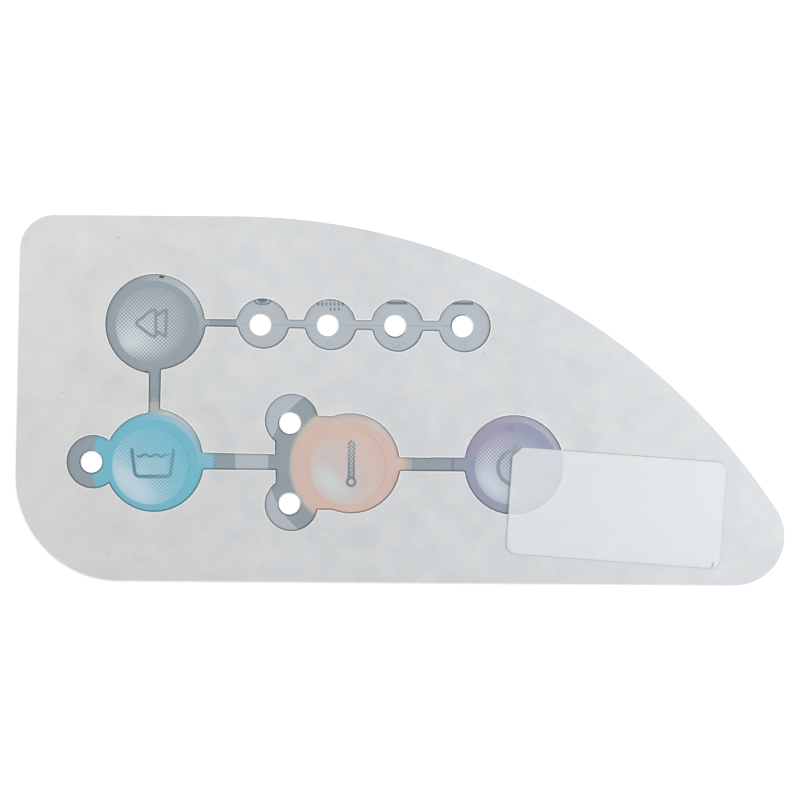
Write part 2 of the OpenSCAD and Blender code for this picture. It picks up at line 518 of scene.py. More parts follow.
# The keys' print, with lengths in millimetres and angles in degrees. Some keys have only some of these.
# "pale" and "full": the face's thinnest and fullest ink.
# "ring" and "bezel": the ring's ink, and its bezel's palest.
# "bezel_pale": the angle of the bezel's pale side, the least ink there, how far its dots stand out, and how
# far round from there the ink closes up.
# "opened": the ink at which a face's dots begin to show, and at which they stand out.
# "even_sides": angles, and how far out along each the dots give way to an even shade.
# "dish": the face's middle, from the ring's middle, its radius, and how wide its ink closes up at its rim.
# "spot": the pale spot's angle and distance, how fast the ink grows along and across that angle, the spot's
# clear reach and the most ink away from it.
# "rim": ink added along the face's rim: all round, on one side, and that side's angle.
# "dot": the dark dots of a face that is otherwise shaded evenly.
# "bands": stretches of the ring: where each starts, its colour, the angle of its middle, half its sweep,
# the softness of its edge and how much the dot screen leaves of it.
# "icon" and "gap": the sign's ink, and the colour between the dots where it is worn.
# "worn": two pixels, and how much of the sign's ink the dot screen leaves at each.
KEY_LOOKS = {
    "back": {
        "pale": (212, 219, 222),
        "full": (147, 158, 166),
        "ring": (150, 161, 168),
        "bezel": (188, 197, 205),
        "bezel_pale": (47, 0.05, 0.85, 72),
        "opened": (0.12, 0.3),
        "dish": (-0.06, 0.03, 7.36, 0.4),
        "spot": (217, 7.2, 9.7, 5.5, 0.13, 1.1),
        "rim": (0.0, 0.81, -45),
        "bands": [(10.45, SURROUND_INK, 0, 50, 0.12, 1.0)],
        "icon": (137, 151, 160),
        "gap": (178, 187, 193),
        "worn": ((135, 323, 0.97), (167, 323, 0.93)),
    },
    "wash": {
        "pale": (193, 215, 225),
        "full": (110, 187, 207),
        "ring": (117, 186, 205),
        "bezel": (176, 199, 208),
        "bezel_pale": (50, 0.28, 0.4, 70),
        "dish": (-0.5, -0.4, 7.3, 0.22),
        "spot": (227, 5.7, 5.9, 14.0, 0.16, 1.06),
        "rim": (0.04, 0.37, -2),
        "dot": (94, 158, 178),
        "bands": [
            (9.45, (196, 201, 203), 62, 24, 0.12, 1.0),
            (9.6, (178, 182, 184), 97, 14, 0.12, 1.0),
            (11.2, (92, 140, 155), 0, 20, 0.1, 0.42),
        ],
        "icon": (89, 143, 162),
        "gap": (140, 187, 204),
        "worn": ((134, 460, 0.97), (172, 460, 0.62)),
    },
    "heat": {
        "pale": (207, 211, 214),
        "full": (213, 188, 178),
        "ring": (213, 187, 177),
        "bezel": (199, 202, 205),
        "bezel_pale": (60, 0.15, 0.3, 60),
        "dish": (-0.38, -0.25, 7.2, 0.3),
        "spot": (222.6, 5.0, 5.4, 10.8, 0.08, 1.1),
        "rim": (0.11, 1.0, 53),
        "dot": (183, 177, 173),
        "bands": [
            (10.75, (194, 189, 180), 180, 110, 0.3, 1.0),
            (11.25, (166, 169, 170), 180, 110, 0.12, 1.0),
            (8.6, (196, 186, 183), 92, 22, 0.3, 0.8),
            (10.0, (192, 183, 178), 0, 40, 0.4, 1.0),
            (10.7, (160, 160, 160), 0, 20, 0.3, 0.4),
        ],
        "icon": (124, 137, 147),
        "gap": (196, 192, 190),
        "worn": ((351, 474, 0.97), (351, 448, 0.62)),
    },
    "power": {
        "pale": (202, 211, 219),
        "full": (149, 153, 177),
        "ring": (151, 155, 178),
        "bezel": (190, 197, 206),
        "bezel_pale": (47, 0.45, 0.7, 83),
        "opened": (0.02, 0.15),
        "even_sides": [(-106, 0.6, 2.0), (14, 0.1, 1.5)],
        "dish": (-0.25, -0.2, 7.1, 0.4),
        "spot": (222, 5.73, 4.1, 10.4, 0.17, 0.87),
        "rim": (0.34, 0.3, 60),
        "bands": [(11.1, (128, 145, 149), 180, 60, 0.08, 1.0)],
        "icon": (137, 156, 159),
        "gap": (185, 196, 204),
        "worn": ((500, 467, 0.97), (514, 446, 0.8)),
    },
}
# The pink cast over the upper left of the power key, and a blot of it
CAST_INK = (171, 154, 178)
CAST_ANGLE = 126
CAST_SHARE = 0.45
BLOT_INK = (150, 122, 160)
BLOT_PIXEL = (509.5, 427)
BLOT_SHARE = 0.85
# The radius at which a face's ink begins to grow towards its rim
RIM_FROM = 4.6
# Where the rim of an evenly shaded face shows as a dark line
RIM_LINE_ANGLE = 8
RIM_LINE_SHADE = 0.15
# How far dots stand out at the least, and as the ink grows from one coverage to another
LEAST_DOTS = 0.1
CLOSING_RUN = (0.5, 0.8)
CLOSING_DOTS = (0.97, 0.62)
# The dark dots of an evenly shaded face: none where the ink is thinner or fuller than the middle by this
# much, and how fast they grow
EVEN_DOTS_FROM = 0.1
EVEN_DOTS_GROW = 1.5
# The thinner ink inside the tub on the wash key: its middle pixel, half its size in millimetres, the
# softness of its edges, and how much is left there of the ink and of its dark dots
POOL_PIXEL = (152.3, 465.3)
POOL_HALF = (2.75, 1.6)
POOL_SOFT = 0.3
POOL_INK_LEFT = 0.77
POOL_DOTS_LEFT = 0.55


def full_ink(paint, key, colour, place, outward):
    """A key's full ink, with the pink cast where the key has one."""
    if key != "power":
        return linear(colour)
    turned = paint.span(paint.along(outward, CAST_ANGLE), 0.68, 0.95)
    reach = paint.span(paint.vector("LENGTH", place), 2.0, 6.0, 0.0, CAST_SHARE)
    pink = paint.blend(paint.times(turned, reach), linear(colour), linear(CAST_INK))
    away = paint.distance(from_photo(*BLOT_PIXEL).to_3d())
    blot = paint.times(paint.span(away, 0.3, 1.3, BLOT_SHARE, 0.0), paint.dots(0.45, 0.9))
    return paint.blend(blot, pink, linear(BLOT_INK))


def spot_cover(paint, look, place):
    """How much ink the face has away from its rim: none at its pale spot, and more away from it."""
    angle, reach, along_mm, across_mm, clear, most = look["spot"]
    along = paint.along(place, angle)
    across = paint.along(place, angle + 90)
    u = paint.math("DIVIDE", paint.math("SUBTRACT", along, reach), along_mm)
    v = paint.math("DIVIDE", across, across_mm)
    away = paint.math("SQRT", paint.math("ADD", paint.times(u, u), paint.times(v, v)))
    run = paint.math("MAXIMUM", paint.math("SUBTRACT", away, clear), 0.0)
    fade = paint.math("EXPONENT", paint.times(run, -1.0))
    return paint.math("MULTIPLY_ADD", fade, -most, most)


def face_cover(paint, look, outward, radius, shaded):
    """How much ink the face has, with what its rim adds."""
    all_round, one_side, side_angle = look["rim"]
    dish_r, close = look["dish"][2:]
    facing = paint.along(outward, side_angle)
    side = paint.span(facing, -1.0, 1.0, all_round, all_round + one_side)
    rim = paint.times(paint.span(radius, RIM_FROM, dish_r), side)
    closing = paint.span(radius, dish_r - close, dish_r + 0.05)
    for added in (rim, closing):
        bare = paint.rest(shaded)
        shaded = paint.math("MULTIPLY_ADD", bare, added, shaded)
    return shaded


def dot_contrast(paint, look, shaded, cover, place):
    """How far a face's dots stand out: least where the ink is thin or nearly closed."""
    opened = paint.span(shaded, *look["opened"], LEAST_DOTS, 1.0)
    contrast = paint.times(opened, paint.span(cover, *CLOSING_RUN, *CLOSING_DOTS))
    for angle, start, end in look.get("even_sides", []):
        along = paint.along(place, angle)
        contrast = paint.times(contrast, paint.span(along, start, end, 1.0, LEAST_DOTS))
    return contrast


def pool_thinned(paint, ink, left):
    """The wash key's ink, of which a share is left inside the tub of its sign."""
    middle = from_photo(*POOL_PIXEL).to_3d() / MM
    away = paint.vector("ABSOLUTE", paint.vector("SUBTRACT", paint.mm, tuple(middle)))
    inside = 1.0
    for half, angle in zip(POOL_HALF, (0, 90)):
        within = paint.span(paint.along(away, angle), half - POOL_SOFT, half, 1.0, 0.0)
        inside = paint.times(inside, within)
    return paint.times(ink, paint.math("MULTIPLY_ADD", inside, left - 1, 1.0))


def face_colour(paint, key, place, outward, radius):
    """The shaded face: dots, or an even shade with small dark dots in it."""
    look = KEY_LOOKS[key]
    shaded = spot_cover(paint, look, place)
    cover = face_cover(paint, look, outward, radius, shaded)
    full = full_ink(paint, key, look["full"], place, outward)
    if "dot" not in look:
        contrast = dot_contrast(paint, look, shaded, cover, place)
        return paint.blend(paint.dots(cover, contrast), linear(look["pale"]), full)
    bare = paint.rest(cover)
    middling = paint.math("SUBTRACT", paint.times(shaded, bare), EVEN_DOTS_FROM)
    share = paint.times(paint.math("MAXIMUM", middling, 0.0), EVEN_DOTS_GROW)
    dots = paint.dots(share, 1.0)
    if key == "wash":
        cover = pool_thinned(paint, cover, POOL_INK_LEFT)
        dots = pool_thinned(paint, dots, POOL_DOTS_LEFT)
    even = paint.blend(cover, linear(look["pale"]), full)
    dotted = paint.blend(dots, even, linear(look["dot"]))
    dish_r = look["dish"][2]
    inner = paint.span(radius, dish_r - 0.28, dish_r - 0.08)
    turned = paint.span(paint.along(outward, RIM_LINE_ANGLE), 0.1, 0.7, 0.0, RIM_LINE_SHADE)
    line = paint.rest(paint.times(inner, turned))
    return paint.vector("SCALE", dotted, scale=line)


# The angle over which the ends of a band fade, to each side
BAND_FADE = 8


def key_ink(key, part):
    """A key's print: the shaded face, the solid ring and the bezel, which is pale at the upper right."""
    look = KEY_LOOKS[key]
    paint = Paint(f"{key}_{part}_ink")
    middle = ring_middle(key)
    place = paint.vector("SUBTRACT", paint.mm, tuple(middle / MM))
    outward = paint.vector("NORMALIZE", place)
    radius = paint.vector("LENGTH", place)
    pale_angle, low, bezel_dots, sweep_angle = look["bezel_pale"]
    turned = paint.math("ARCCOSINE", paint.along(outward, pale_angle))
    growing = paint.math("MULTIPLY_ADD", turned, (1 - low) / math.radians(sweep_angle), low)
    coverage = paint.math("MINIMUM", growing, 1.0)
    full = full_ink(paint, key, look["ring"], place, outward)
    bezel = paint.blend(paint.dots(coverage, bezel_dots), linear(look["bezel"]), full)
    past_ring = paint.span(radius, SOLID_RING_R - RING_SOFT, SOLID_RING_R + RING_SOFT)
    colour = paint.blend(past_ring, full, bezel)
    for start, band, angle, half, soft, left in look["bands"]:
        inside = paint.span(radius, start - soft, start + soft)
        outer_edge = math.cos(math.radians(half + BAND_FADE))
        inner_edge = math.cos(math.radians(half - BAND_FADE))
        within = paint.span(paint.along(outward, angle), outer_edge, inner_edge)
        share = paint.times(inside, within)
        if left < 1:
            share = paint.times(share, paint.dots(left, 1.0))
        colour = paint.blend(share, colour, linear(band))
    dish_x, dish_y, dish_r, _ = look["dish"]
    from_dish = paint.distance(middle + Vector((dish_x, dish_y, 0)) * MM)
    face = face_colour(paint, key, place, outward, from_dish)
    past_dish = paint.span(from_dish, dish_r - PRINT_SOFT, dish_r + PRINT_SOFT)
    return ink_finish(paint, paint.blend(past_dish, face, colour))


ICON_DOTS = 0.95


def icon_ink(key, strength=1.0):
    """The ink of a key's sign, broken up by the dot screen."""
    look = KEY_LOOKS[key]
    paint = Paint(f"{key}_icon_ink")
    (*start, start_cover), (*end, end_cover) = look["worn"]
    first = from_photo(*start).to_3d() / MM
    run = from_photo(*end).to_3d() / MM - first
    place = paint.vector("SUBTRACT", paint.mm, tuple(first))
    along = paint.vector("DOT_PRODUCT", place, tuple(run / run.length))
    cover = paint.span(along, 0.0, run.length, start_cover * strength, end_cover * strength)
    worn = paint.dots(cover, ICON_DOTS)
    return ink_finish(paint, paint.blend(worn, linear(look["gap"]), linear(look["icon"])))


PAPER_WARM = (217, 217, 215)
PAPER_COOL = (210, 214, 218)
# The values of a noise between which its patches turn from warm to cool
PATCH_RUN = (0.26, 0.74)
# The paper is warmer towards the short side: between these places along X, in millimetres, by these shares
WARM_RUN = (-70, 10)
WARM_SHARES = (-0.4, 0.25)
# How far the print below darkens it, and how much more its clouds rise than its fibres
THROUGH_SHADE = -0.02
CLOUD_RISE = 6.0
# The lip's paper, whiter than the liner as a painted highlight along the windows' cut edges
LIP_HIGHLIGHT_WHITE = (237, 239, 240)
# The adhesive layer, and the painted shadow along the windows' cut edges: the colour of each one's body,
# the share of the surface that the body covers, and how much light the clear rest lets through
ADHESIVE_LAYER = ((150, 153, 152), 0.75, 0.86)
EDGE_SHADOW = ((118, 112, 111), 0.12, 0.73)
# How a noise changes the body's share, as dirt in the adhesive and as uneven depth in the painted edge
# shadow, and the tint of the clear rest
GLUE_SHARES = (0.7, 1.3)
GLUE_TINT = (1, 0.985, 0.98)
# The film's satin, the tint of what passes through it, and how far its clouds add to its gloss
FILM_WHITE = (240, 244, 246)
FILM_TINT = (0.96, 0.975, 0.98, 1)
FILM_HAZE = 0.04
FILM_IOR = 1.5
# The label's two tints, how much light it lets through, and the tint of its gum
LABEL_TINTS = ((246, 248, 247), (244, 248, 248))
LABEL_CLEAR_SHARE = 0.34
GUM_TINT = (0.94, 0.945, 1.0)


def liner_paper():
    """The liner's coated paper: cloudy, with fine fibres and a trace of the print below."""
    paint = Paint("liner_paper")
    patches = paint.span(paint.noise("liner_patch"), *PATCH_RUN)
    tint = paint.math("ADD", patches, paint.span(paint.along(paint.mm, 0), *WARM_RUN, *WARM_SHARES))
    paper = paint.blend(tint, linear(PAPER_WARM), linear(PAPER_COOL))
    near = nearest_key(paint)
    inner = paint.span(near, RING_R - 0.6, RING_R + 0.3)
    outer = paint.span(near, SURROUND_R - 0.4, SURROUND_R + 0.5, 1.0, 0.0)
    through = paint.times(inner, outer)
    shade = paint.math("MULTIPLY_ADD", through, THROUGH_SHADE, 1 - THROUGH_SHADE / 2)
    colour = paint.tone(paper, "liner_cloud", "liner_drift", "liner_fibre", shade=shade)
    grain = paint.math("MULTIPLY_ADD", paint.noise("liner_cloud"), CLOUD_RISE, paint.noise("liner_fibre"))
    roughness = paint.rough("liner_fibre", "liner")
    return paint.done(paint.surface(colour, roughness, paint.bump(grain, "liner")))


def lip_highlight_paper():
    """The raised fibres along the liner's windows, painted whiter than the liner as a highlight."""
    paint = Paint("lip_highlight_paper")
    colour = paint.tone(linear(LIP_HIGHLIGHT_WHITE)[:3], "torn_fibre")
    return paint.done(paint.surface(colour, paint.rough("torn_fibre", "torn")))


def adhesive_and_shadow(name, colour, body, clear):
    """Adhesive, and the painted shadow along the windows' edges, made alike: a body of one colour that
    covers a share of the surface, and a darkening clear rest.
    """
    paint = Paint(name)
    matt = paint.surface(paint.tone(linear(colour)[:3], "glue_dirt_and_shade"), paint.rough("glue_dirt_and_shade", "adhesive_and_shadow"))
    tint = [clear * part for part in GLUE_TINT]
    through = paint.node("BsdfTransparent", {"Color": (*tint, 1)})
    least, most = GLUE_SHARES
    share = paint.span(paint.noise("glue_dirt_and_shade"), 0.25, 0.75, body * least, body * most)
    return paint.done(paint.node("MixShader", {0: share, 1: through, 2: matt}))


def clear_film():
    """The polyester film, clear with a fine satin finish on its front."""
    paint = Paint("clear_film")
    colour = paint.tone(linear(FILM_WHITE)[:3], "film_cloud")
    normal = paint.bump(paint.noise("film_grain"), "film")
    satin = paint.surface(colour, paint.rough("film_grain", "film"), normal, specular=0.5)
    clear = paint.node("BsdfTransparent", {"Color": FILM_TINT})
    gloss = paint.node("Fresnel", {"IOR": FILM_IOR})
    share = paint.math("MULTIPLY_ADD", paint.noise("film_cloud"), FILM_HAZE, gloss)
    return paint.done(paint.node("MixShader", {0: share, 1: clear, 2: satin}))


def label_paper():
    """The label's thin paper, which lets some light through to what is under it."""
    paint = Paint("label_paper")
    tint = paint.span(paint.noise("label_patch"), 0.35, 0.65)
    base = paint.blend(tint, *(linear(colour) for colour in LABEL_TINTS))
    colour = paint.tone(base, "label_cloud", "label_fibre")
    normal = paint.bump(paint.noise("label_fibre"), "label")
    front = paint.surface(colour, paint.rough("label_fibre", "label"), normal)
    through = paint.node("BsdfTranslucent", {"Color": colour, "Normal": normal})
    return paint.done(paint.node("MixShader", {0: LABEL_CLEAR_SHARE, 1: front, 2: through}))


def label_gum():
    """The label's gummed underside, which is clear."""
    paint = Paint("label_gum")
    colour = paint.tone(GUM_TINT, "gum_streak")
    return paint.done(paint.node("BsdfTransparent", {"Color": colour}))


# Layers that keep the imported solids


def dress(name, material):
    """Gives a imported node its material."""
    nodes[name].data.materials.clear()
    nodes[name].data.materials.append(material)


dress("background_print", base_ink())
dress("surround_print", surround_ink())
for key_name in KEY_NAMES:
    dress(f"{key_name}_key_face", key_ink(key_name, "face"))
    dress(f"{key_name}_key_ring", key_ink(key_name, "ring"))
dress("adhesive", adhesive_and_shadow("adhesive_layer", *ADHESIVE_LAYER))
dress("release_liner", liner_paper())


# The film


def film_sheet():
    """The film, a hair thinner than its solid so that it stays clear of the print's faces."""
    mesh = nodes["overlay_film"].data.copy()
    mesh.name = "film_sheet"
    for vertex in mesh.vertices:
        if vertex.co.z > film_top / 2:
            vertex.co.z -= FILM_GAP
    mesh.materials.clear()
    mesh.materials.append(clear_film())
    piece = place_piece("film_sheet", mesh)
    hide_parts("overlay_film")


film_sheet()

# Cut edges of the windows

window_rims = rims("release_liner")[1:]
# How far the painted edge shadow reaches into a window, and the shares of that at a window's top and bottom
EDGE_W = 0.24 * MM
EDGE_TOP_SHARE = 0.2
EDGE_LOW_SHARE = 1.3
LIP_W = 0.22 * MM
LIP_H = 0.018 * MM
# How far a small form is sunk into what carries it
SUNK = 0.004 * MM


def along_windows(profile):
    """A section that follows the rim of each window, with the window on its left."""
    turned = [loop if loop_area(loop) > 0 else loop[::-1] for loop in window_rims]
    return [sweep(loop, profile, closed=True) for loop in turned]


def window_edge_shadow():
    """A dark strip inside each window's cut edge: painted shadow of the liner's edge, widest along the
    windows' lower edges and narrowest at their tops.
    """
    def profile(i, side):
        up = side.normalized().y
        share = 1 + (EDGE_LOW_SHARE - 1) * max(up, 0) - (1 - EDGE_TOP_SHARE) * max(-up, 0)
        return [(-SUNK, ink_top - SUNK), (EDGE_W * share, ink_top - SUNK), (-SUNK, adhesive_top)]

    add_piece("window_edge_shadow", along_windows(profile), adhesive_and_shadow("window_edge_shadow", *EDGE_SHADOW))


def liner_lip():
    """The raised edge that the cut leaves on the liner, painted whiter as a highlight."""
    def profile(i, side):
        return [
            (0, liner_top - SUNK),
            (-LIP_W * 0.3, liner_top + LIP_H),
            (-LIP_W * 0.7, liner_top + LIP_H),
            (-LIP_W, liner_top - SUNK),
        ]

    add_piece("liner_lip", along_windows(profile), lip_highlight_paper())


window_edge_shadow()
liner_lip()

# Painted shadow on one side of some of the lamp holes' cut edges

# The painted shadow's grey, and its width where it is widest
HOLE_SHADOW_GREY = (94, 101, 107)
RIM_W = 0.25 * MM
# The share of that width at the ends of a rim
RIM_END_SHARE = 0.15
RIM_STEPS = 48
# Each crescent of painted shadow: its hole, the angle of its middle and half its sweep
SHADOW_CRESCENTS = [
    (side_hole, 250, 179),
    (upper_hole, 225, 85),
    (lower_hole, 265, 95),
    (row_holes[2], 265, 60),
    (row_holes[3], 150, 75),
]


def hole_shadows():
    """Crescents of painted shadow along one side of the lamp holes' cut edges."""
    shapes = []
    for middle, angle, half in SHADOW_CRESCENTS:
        path = arc(middle, hole_r, angle - half, angle + half, RIM_STEPS)

        def profile(i, side):
            bulge = math.sin(math.pi * i / RIM_STEPS) ** 0.5
            width = RIM_W * (RIM_END_SHARE + (1 - RIM_END_SHARE) * bulge)
            return [(0, MARK_LOW), (-width, MARK_LOW), (-width, MARK_HIGH), (0, MARK_HIGH)]

        shapes.append(sweep(path, profile))
    add_piece("hole_shadows", shapes, plain_ink("hole_shadow_ink", HOLE_SHADOW_GREY))


hole_shadows()

# Signs on the keys, as the back of the print shows them


def pixels(*points):
    """The places on the sheet that a list of pixels shows."""
    return [from_photo(*point) for point in points]


def stroke(path, wide, closed=False):
    """A printed stroke along a path, with its width in pixels."""
    return strip(path, wide * PIXEL, MARK_LOW, MARK_HIGH, closed)


def add_icon(key, *shapes):
    """The sign on a key."""
    add_piece(f"{key}_icon", shapes, icon_ink(key))


# The share of its ink that the thermometer's column has
COLUMN_SHARE = 0.55


def back_icon():
    """Two nested triangles that point left."""
    front = rounded(pixels((133.6, 322.6), (155.2, 307.2), (155.4, 338.2)), 5.6 * PIXEL, closed=True)
    rear = rounded(pixels((157.0, 314.6), (165.8, 308.4), (165.2, 337.2), (157.0, 330.6)), 3.6 * PIXEL)
    add_icon("back", stroke(front, 2.9, closed=True), stroke(rear, 2.9))


def wash_icon():
    """A tub with water in it."""
    tub = rounded(pixels((131.0, 447.7), (134.6, 476.0), (169.8, 476.0), (173.2, 448.4)), 5 * PIXEL)
    steps = 32
    half_waves = 6
    water = []
    for i in range(steps + 1):
        share = i / steps
        swell = 1.2 * math.sin(share * half_waves * math.pi)
        water.append(from_photo(136.5 + 32 * share, 455 + swell))
    add_icon("wash", stroke(tub, 3.3), stroke(water, 2.1))


def heat_icon():
    """A thermometer: a tall tube over a round bulb."""
    bulb = from_photo(350.6, 481.4)
    top = from_photo(351.1, 443.4)
    half = 2.5 * PIXEL
    foot = 4.4 * PIXEL
    tube = [bulb + Vector((-half, foot)), *arc(top, half, 180, 0, 12), bulb + Vector((half, foot))]
    ring = arc(bulb, 4.0 * PIXEL, 0, 360, 40)[:-1]
    add_icon("heat", stroke(tube, 2.2), stroke(ring, 2.6, closed=True))
    column = stroke([bulb + Vector((0, 5.6 * PIXEL)), top], 2.4)
    add_piece("heat_icon_column", [column], icon_ink("heat", COLUMN_SHARE))


def power_icon():
    """A ring that is open at its top, where a bar leaves it."""
    ring = arc(from_photo(514.9, 467.1), 17.2 * PIXEL, 440, 106, 72)
    bar = pixels((513.0, 450.4), (515.5, 443.4))
    add_icon("power", stroke(ring + bar, 3.9))


back_icon()
wash_icon()
heat_icon()
power_icon()

# Marks of the print at the lamps

LAMP_MARK_INK = (112, 125, 134)
FAINT_MARK_INK = (166, 175, 182)
# The drops, in pixels: how far apart they are, how far they lean and how wide they are
DROP_PITCH = 4.1
DROP_LEAN = 0.3
DROP_STROKE = 1.7
# Each bar: its two ends and its width
BARS = [
    ((386.8, 302.5), (406.5, 302.7), 2.7),
    ((452.0, 302.9), (472.8, 303.1), 2.6),
]


def lamp_marks():
    """A bowl, a row of drops and two bars, which the upper edges of the lamp windows cut off."""
    ink = plain_ink("lamp_mark_ink", LAMP_MARK_INK)
    rim = rounded(pixels((252.5, 298.0), (256, 303.6), (268, 303.6), (271.5, 298.0)), 3.5 * PIXEL)
    fill = rounded(pixels((256.0, 297.6), (258.8, 302.2), (265.2, 302.2), (268.0, 297.6)), 2.4 * PIXEL)
    bowl = [stroke(rim, 1.5), patch(fill, MARK_LOW, MARK_HIGH)]
    add_piece("bowl_mark", bowl, ink)
    drops = []
    for i in range(7):
        column = 317.5 + DROP_PITCH * i
        drops.append(stroke(pixels((column, 302.0), (column + DROP_LEAN, 305.2)), DROP_STROKE))
    for i in range(3):
        column = 329.9 + DROP_PITCH * i
        drops.append(stroke(pixels((column, 307.2), (column + DROP_LEAN, 310.0)), DROP_STROKE))
        drops.append(stroke(pixels((column, 299.6), (column, 300.6)), DROP_STROKE))
    add_piece("drop_marks", drops, ink)
    bars = [stroke(pixels(start, end), wide) for start, end, wide in BARS]
    add_piece("bar_marks", bars, ink)


# The faint line along the row: how far before the first hole it starts, and how far it stays off the holes
LINE_START = 3.5 * MM
LINE_CLEAR = 0.15 * MM
# Each faint circle: its pixel, and its radius in pixels
FAINT_CIRCLES = [
    (329, 343, 2.4),
    (395.7, 344.3, 2.9),
    (462, 344.4, 2.6),
    (152.7, 399.5, 1.3),
    (156.6, 399.5, 1.3),
]


def faint_marks():
    """A faint line along the row of lamps, circles below three lamps, and two small ones in a channel."""
    shapes = []
    clear = Vector((hole_r + LINE_CLEAR, 0))
    starts = [row_holes[0] - Vector((LINE_START, 0))] + [hole + clear for hole in row_holes[:-1]]
    for start, hole in zip(starts, row_holes):
        shapes.append(stroke([start, hole - clear], 1.1))
    for column, row, radius in FAINT_CIRCLES:
        circle = arc(from_photo(column, row), radius * PIXEL, 0, 360, 32)[:-1]
        shapes.append(stroke(circle, 0.8, closed=True))
    add_piece("faint_marks", shapes, plain_ink("faint_mark_ink", FAINT_MARK_INK))


lamp_marks()
faint_marks()

# The label

LABEL_L = 40.2 * MM
LABEL_H = 20 * MM
LABEL_R = 2 * MM
# Half the height between its rounded corners
LABEL_STRAIGHT = LABEL_H / 2 - LABEL_R
LABEL_CUT = 1.8 * MM
LABEL_TURN = math.radians(-3.8)
# Its middle, from the overlay's right end and from its lower edge
LABEL_FROM_TIP = 31.6 * MM
LABEL_UP = 14.25 * MM
LABEL_COLUMNS = 100
LABEL_ROWS = 40
CORNER_ROWS = 10
# How far it sags into the window, and how far it stays off the liner
LABEL_SAG = 0.07 * MM
LABEL_GAP = 0.004 * MM
# How far the label's cut edge leans out at its left and its top, so that its grey, a painted shadow along
# those edges, shows from above
LABEL_BEVEL = 0.13 * MM
LABEL_EDGE_SHADOW = (158, 162, 165)
WINDOW_R = 9.35 * MM
# The fold at its corner, and the painted shade along its crease
FOLD_H = 0.07 * MM
FOLD_W = 0.35 * MM
CREASE_W = 0.16 * MM
CREASE_STEPS = 8
CREASE_SHADE_INK = (128, 131, 134)
label_middle = Vector((cad_box[1].x - LABEL_FROM_TIP, cad_box[0].y + LABEL_UP))
fold_ends = pixels((710.8, 567.6), (713.2, 561.6))


def label_sides(v):
    """The two ends of the label's row at height v above its middle."""
    bulge = max(abs(v) - LABEL_STRAIGHT, 0)
    inset = LABEL_R - math.sqrt(max(LABEL_R**2 - bulge**2, 0))
    cut = max(v - (LABEL_H / 2 - LABEL_CUT), 0)
    return -LABEL_L / 2 + max(inset, cut), LABEL_L / 2 - inset


def label_height(place):
    """How far the label lies above its flat place: it sags over the window and is folded at one corner."""
    window = (ring_middle("power") + WINDOW_FROM_RING).xy
    inside = max(1 - (place - window).length / WINDOW_R, 0)
    sag = LABEL_SAG * inside * (2 - inside)
    start, end = fold_ends
    run = (end - start).normalized()
    along = max(min((place - start).dot(run), (end - start).length), 0)
    away = (place - start - run * along).length
    fold = FOLD_H * math.exp(-((away / FOLD_W) ** 2))
    return fold - sag


def label_sheet():
    """The label as a thin sheet: a grid of rows, with its underside and its edges."""
    bend = [LABEL_R * math.sin(math.pi / 2 * i / CORNER_ROWS) for i in range(1, CORNER_ROWS + 1)]
    rows = [-LABEL_STRAIGHT - b for b in reversed(bend)]
    rows += [LABEL_STRAIGHT * (2 * i / LABEL_ROWS - 1) for i in range(LABEL_ROWS + 1)]
    rows += [LABEL_STRAIGHT + b for b in bend]
    turn_x = Vector((math.cos(LABEL_TURN), math.sin(LABEL_TURN)))
    turn_y = Vector((-turn_x.y, turn_x.x))
    tops = []
    lows = []
    for v in rows:
        start, end = label_sides(v)
        for i in range(LABEL_COLUMNS + 1):
            u = start + (end - start) * i / LABEL_COLUMNS
            place = label_middle + turn_x * u + turn_y * v
            lift = label_height(place)
            tops.append((place.x, place.y, label_top + lift))
            lean_x = LABEL_BEVEL * (1 - i / LABEL_COLUMNS)
            lean_y = LABEL_BEVEL * max(v / (LABEL_H / 2), 0)
            foot = place - turn_x * lean_x + turn_y * lean_y
            lows.append((foot.x, foot.y, liner_top + LABEL_GAP + lift))
    width = LABEL_COLUMNS + 1
    under = len(tops)
    top_faces = []
    for r in range(len(rows) - 1):
        for c in range(LABEL_COLUMNS):
            a = r * width + c
            top_faces.append((a, a + 1, a + width + 1, a + width))
    low_faces = [tuple(under + i for i in face) for face in top_faces]
    last = (len(rows) - 1) * width
    border = list(range(width))
    border += [r * width + LABEL_COLUMNS for r in range(1, len(rows))]
    border += [last + c for c in range(LABEL_COLUMNS - 1, -1, -1)]
    border += [r * width for r in range(len(rows) - 2, 0, -1)]
    sides = [(a, b, under + b, under + a) for a, b in zip(border, border[1:] + border[:1])]
    faces = top_faces + sides + low_faces
    piece = add_piece("label_sheet", [(tops + lows, faces)], label_paper())
    piece.data.materials.append(label_gum())
    # The cut edges are painted grey as the shadow along the label's edges
    piece.data.materials.append(plain_ink("label_edge_shade", LABEL_EDGE_SHADOW))
    indices = [0] * len(top_faces) + [2] * len(sides) + [1] * len(low_faces)
    piece.data.polygons.foreach_set("material_index", indices)
    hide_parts("label")


def crease_shade_line():
    """Painted shade along the fold at the label's corner."""
    start, end = fold_ends
    path = [start + (end - start) * i / CREASE_STEPS for i in range(CREASE_STEPS + 1)]

    def profile(i, side):
        height = label_top + label_height(path[i])
        low = height - SUNK
        high = height + SUNK
        half = CREASE_W / 2 * math.sin(math.pi * (i + 0.5) / (CREASE_STEPS + 1))
        return [(-half, low), (half, low), (half, high), (-half, high)]

    fold_shade = plain_ink("painted_crease_shade", CREASE_SHADE_INK)
    add_piece("crease_shade_line", [sweep(path, profile)], fold_shade)


label_sheet()
crease_shade_line()

# Small marks of handling

SPECK_SEED = 11
SPECK_SIDES = 9
# How far a speck's corners stand out, as shares of half its size
SPECK_REACH = (0.7, 1.2)
SPECK_GREY = (150, 148, 144)
SPECK_DARK = (70, 74, 78)
